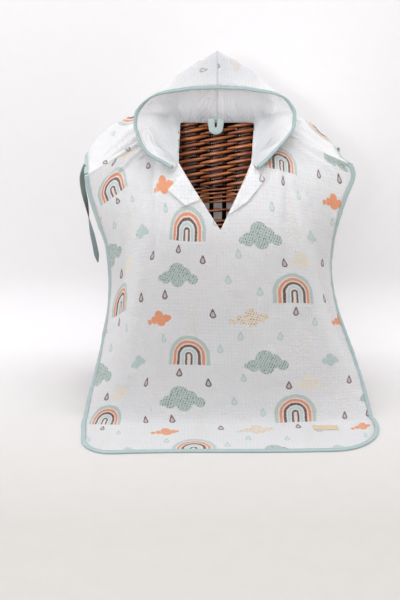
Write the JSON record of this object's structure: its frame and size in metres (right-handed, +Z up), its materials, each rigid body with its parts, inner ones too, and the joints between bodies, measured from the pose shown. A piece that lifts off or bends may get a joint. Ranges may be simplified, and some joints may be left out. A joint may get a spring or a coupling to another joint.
{
  "type": "hooded bath poncho on a wicker tub chair",
  "caption": "Child's hooded muslin bath poncho with bound edges, a neck slit and side ties, draped over a small wicker tub chair and spread on the floor at front and back.",
  "frame": {"origin": "on the floor, under the middle of the object's footprint", "axes": "+Z up, the poncho's front faces -Y, +X to the right in the picture"},
  "size_m": [0.579, 0.507, 0.694],
  "materials": {
    "muslin": "crinkled matt cotton muslin",
    "mint_binding": "matt cotton bias binding",
    "tie_tape": "matt cotton tape",
    "label_tape": "smooth woven tape",
    "wicker": "varnished willow"
  },
  "bodies": {
    "root": {"front_panel": "muslin", "back_panel": "muslin", "front_binding": "mint_binding", "back_binding": "mint_binding", "hood_left": "muslin", "hood_right": "muslin", "hood_binding": "mint_binding", "lapel_left": "muslin", "lapel_right": "muslin", "hanging_loop": "mint_binding", "tie_left": "tie_tape", "tie_right": "tie_tape", "label": "label_tape", "chair_rim": "wicker", "chair_shell": "wicker", "chair_seat": "wicker", "chair_leg_front_left": "wicker", "chair_leg_front_right": "wicker", "chair_leg_back_left": "wicker", "chair_leg_back_right": "wicker"}
  },
  "joints": []
}
